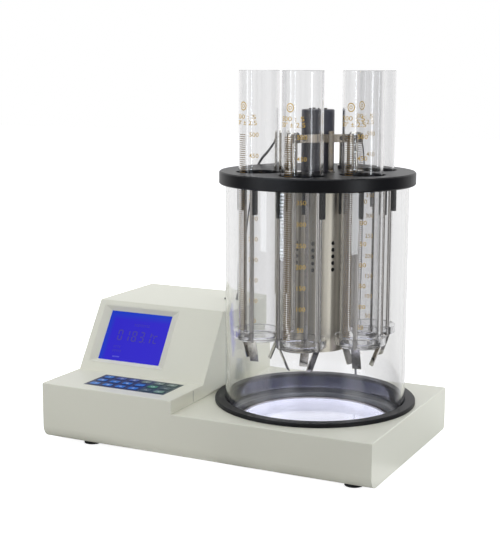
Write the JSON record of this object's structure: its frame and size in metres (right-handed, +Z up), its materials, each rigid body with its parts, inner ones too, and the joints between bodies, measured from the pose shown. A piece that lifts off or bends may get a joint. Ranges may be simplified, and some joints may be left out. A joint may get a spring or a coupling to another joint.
{
  "type": "benchtop density meter",
  "caption": "Bench instrument with a sloped display console and a lit glass bath whose lid holds a stirrer, heaters and tall glass measuring cylinders.",
  "frame": {"origin": "on the bench under the middle of the object without its cords", "axes": "+X to the right as seen from the front, +Y to the back, +Z up"},
  "size_m": [0.482, 0.3289, 0.5105],
  "materials": {
    "ivory_paint": "satin",
    "plated_steel": "satin",
    "black_rubber": "matte",
    "black_plastic": "matte",
    "bezel_plastic": "satin",
    "black_paint": "matte",
    "display_blue": "gloss",
    "keypad_film": "satin",
    "board_green": "satin",
    "heat_sink": "satin",
    "stainless": "polished",
    "bush_bronze": "satin",
    "opal_plastic": "satin",
    "clear_glass": "gloss",
    "clear_plastic": "gloss",
    "cord_jacket": "matte"
  },
  "bodies": {
    "base": {"base_housing": "ivory_paint", "bottom_plate": "plated_steel", "feet": "black_rubber", "base_screws": "plated_steel", "console_cover": "ivory_paint", "console_screws": "plated_steel", "display_bezel": "bezel_plastic", "display_glass": "display_blue", "display_board": "board_green", "keypad_overlay": "keypad_film", "keypad_board": "board_green", "control_board": "board_green", "power_supply": "plated_steel", "heater_relay": "heat_sink", "mains_inlet": "black_plastic", "switch_frame": "black_plastic", "fuse_body": "black_plastic", "bath_ring": "black_plastic", "bath_well": "stainless", "jar_cushion": "black_rubber", "light_diffuser": "opal_plastic", "light_board": "board_green", "bath_jar": "clear_glass", "console_gland": "black_rubber", "rear_gland": "black_rubber", "sensor_cord": "cord_jacket", "heater_cord": "cord_jacket"},
    "lid": {"lid": "black_plastic", "lid_seal": "black_rubber", "shaft_bush": "bush_bronze", "motor_cover": "black_paint", "motor_body": "stainless", "motor_screws": "plated_steel", "guard_tube": "stainless", "heater_1": "stainless", "heater_2": "stainless", "cord_boots": "black_rubber", "bath_sensor": "stainless", "limit_sensor": "stainless", "lid_glands": "stainless", "heater_bridge": "stainless", "bridge_post": "stainless", "bridge_screws": "plated_steel", "holder_blocks": "black_plastic", "holder_hangers_1": "stainless", "holder_hangers_2": "stainless", "holder_hangers_3": "stainless", "holder_hangers_4": "stainless", "holder_ring_1": "clear_plastic", "holder_ring_2": "clear_plastic", "holder_ring_3": "clear_plastic", "holder_ring_4": "clear_plastic"},
    "stirrer": {"stirrer_shaft": "stainless", "stirrer_impeller": "stainless"},
    "cylinder_1": {"cylinder_1": "clear_glass"},
    "cylinder_2": {"cylinder_2": "clear_glass"},
    "cylinder_3": {"cylinder_3": "clear_glass"},
    "cylinder_4": {"cylinder_4": "clear_glass"},
    "rocker": {"switch_rocker": "black_plastic"},
    "fuse": {"fuse_cap": "black_plastic"}
  },
  "joints": [
    {"name": "lid_lift", "type": "slide", "parent": "base", "child": "lid", "axis": [0, 0, 1], "range_m": [0, 0.25], "deforming": ["sensor_cord", "heater_cord"]},
    {"name": "stirrer_spin", "type": "hinge", "parent": "lid", "child": "stirrer", "pos_m": [0.0997, 0.0033, 0.36], "axis": [0, 0, 1], "continuous": true},
    {"name": "cylinder_lift_1", "type": "slide", "parent": "lid", "child": "cylinder_1", "axis": [0, 0, 1], "range_m": [0, 0.25]},
    {"name": "cylinder_lift_2", "type": "slide", "parent": "lid", "child": "cylinder_2", "axis": [0, 0, 1], "range_m": [0, 0.25]},
    {"name": "cylinder_lift_3", "type": "slide", "parent": "lid", "child": "cylinder_3", "axis": [0, 0, 1], "range_m": [0, 0.25]},
    {"name": "cylinder_lift_4", "type": "slide", "parent": "lid", "child": "cylinder_4", "axis": [0, 0, 1], "range_m": [0, 0.25]},
    {"name": "rocker_tilt", "type": "hinge", "parent": "base", "child": "rocker", "pos_m": [-0.129, 0.1395, 0.0376], "axis": [1, 0, 0], "range_deg": [-20, 0]},
    {"name": "fuse_turn", "type": "hinge", "parent": "base", "child": "fuse", "pos_m": [-0.091, 0.145, 0.0376], "axis": [0, 1, 0], "range_deg": [0, 90]}
  ]
}
